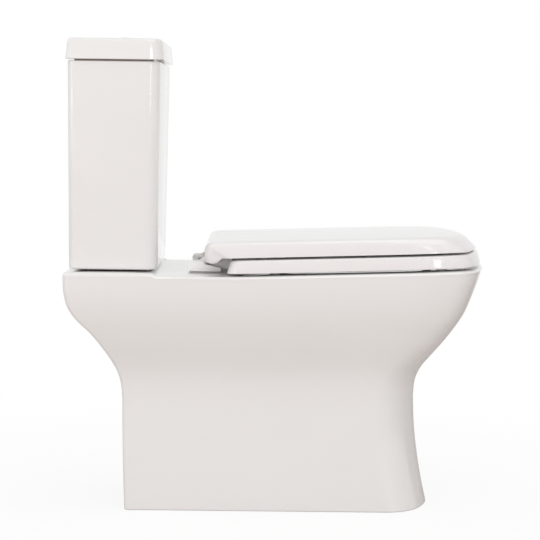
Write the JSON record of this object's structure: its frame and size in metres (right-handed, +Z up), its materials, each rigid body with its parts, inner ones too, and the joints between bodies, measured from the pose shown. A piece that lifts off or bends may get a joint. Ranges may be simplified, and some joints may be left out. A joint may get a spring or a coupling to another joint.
{
  "type": "two-piece toilet",
  "caption": "Close-coupled toilet: a skirted pan with a flared rim, a tapered cistern with lid and dual flush button, and a hinged seat ring and cover.",
  "frame": {"origin": "bottom centre of the bounding box, on the floor", "axes": "+Z up; the toilet faces -Y, so its back is at +Y; X runs from side to side"},
  "size_m": [0.3856, 0.703, 0.7919],
  "materials": {
    "glaze": "glossy",
    "seat_plastic": "glossy",
    "white_plastic": "satin",
    "grey_plastic": "satin",
    "rubber": "matte",
    "chrome": "polished",
    "steel": "brushed"
  },
  "bodies": {
    "pan_and_cistern": {"pan": "glaze", "cistern": "glaze", "cistern_lid": "glaze", "button_bezel": "chrome", "button_lock_nut": "white_plastic", "flush_valve_base": "white_plastic", "flush_valve_cage": "white_plastic", "flush_valve_nut": "white_plastic", "fill_valve_body": "white_plastic", "fill_valve_head": "white_plastic", "fill_valve_nut": "white_plastic", "refill_tube": "white_plastic", "coupling_seal": "rubber", "fill_valve_washer": "rubber", "lift_lever_pin": "steel", "hinge_base_left": "seat_plastic", "hinge_pad_left": "rubber", "hinge_cone_left": "rubber", "bolt_seal_left": "rubber", "hinge_stud_left": "steel", "coupling_bolt_left": "steel", "plate_washer_left": "steel", "coupling_wing_nut_left": "steel", "floor_screw_left": "steel", "hinge_wing_nut_left": "white_plastic", "floor_bush_left": "white_plastic", "hinge_base_right": "seat_plastic", "hinge_pad_right": "rubber", "hinge_cone_right": "rubber", "bolt_seal_right": "rubber", "hinge_stud_right": "steel", "coupling_bolt_right": "steel", "plate_washer_right": "steel", "coupling_wing_nut_right": "steel", "floor_screw_right": "steel", "hinge_wing_nut_right": "white_plastic", "floor_bush_right": "white_plastic"},
    "seat_ring_body": {"seat_ring": "seat_plastic", "hinge_pin_left": "steel", "hinge_pin_right": "steel", "ring_buffer_1": "grey_plastic", "ring_buffer_2": "grey_plastic", "ring_buffer_3": "grey_plastic", "ring_buffer_4": "grey_plastic"},
    "seat_cover_body": {"seat_cover": "seat_plastic", "cover_buffer_1": "grey_plastic", "cover_buffer_2": "grey_plastic", "cover_buffer_3": "grey_plastic", "cover_buffer_4": "grey_plastic"},
    "full_button_body": {"full_flush_button": "chrome", "full_flush_rod": "grey_plastic"},
    "half_button_body": {"half_flush_button": "chrome", "half_flush_rod": "grey_plastic"},
    "valve_body": {"overflow_tube": "grey_plastic", "flush_seal": "rubber"},
    "lever_body": {"lift_lever": "grey_plastic"},
    "float_body": {"float_cup": "grey_plastic", "float_link": "white_plastic"},
    "float_arm_body": {"float_arm": "white_plastic"}
  },
  "joints": [
    {"name": "ring_hinge", "type": "hinge", "parent": "pan_and_cistern", "child": "seat_ring_body", "pos_m": [0, 0.1345, 0.4105], "axis": [-1, 0, 0], "range_deg": [0, 89]},
    {"name": "cover_hinge", "type": "hinge", "parent": "seat_ring_body", "child": "seat_cover_body", "pos_m": [0, 0.1345, 0.4105], "axis": [1, 0, 0], "range_deg": [-89, 0]},
    {"name": "full_flush_press", "type": "slide", "parent": "pan_and_cistern", "child": "full_button_body", "axis": [0, 0, -1], "range_m": [0, 0.006], "stiffness_N_per_m": 500, "springref_m": -0.01},
    {"name": "half_flush_press", "type": "slide", "parent": "pan_and_cistern", "child": "half_button_body", "axis": [0, 0, -1], "range_m": [0, 0.006], "stiffness_N_per_m": 500, "springref_m": -0.01},
    {"name": "valve_lift", "type": "slide", "parent": "pan_and_cistern", "child": "valve_body", "axis": [0, 0, 1], "range_m": [0, 0.0061]},
    {"name": "lever_tilt", "type": "hinge", "parent": "pan_and_cistern", "child": "lever_body", "pos_m": [0, 0.2915, 0.6269], "axis": [1, 0, 0], "range_deg": [0, 22]},
    {"name": "float_rise", "type": "slide", "parent": "pan_and_cistern", "child": "float_body", "axis": [0, 0, 1], "range_m": [0, 0.016]},
    {"name": "float_arm_tilt", "type": "hinge", "parent": "pan_and_cistern", "child": "float_arm_body", "pos_m": [0.108, 0.2505, 0.6137], "axis": [-1, 0, 0], "range_deg": [0, 27]}
  ],
  "couplings": [
    {"joint": "valve_lift", "follows": "full_flush_press", "ratio": 1},
    {"joint": "lever_tilt", "follows": "full_flush_press", "rad_per_m": 62.5},
    {"joint": "float_arm_tilt", "follows": "float_rise", "rad_per_m": 28.5}
  ]
}
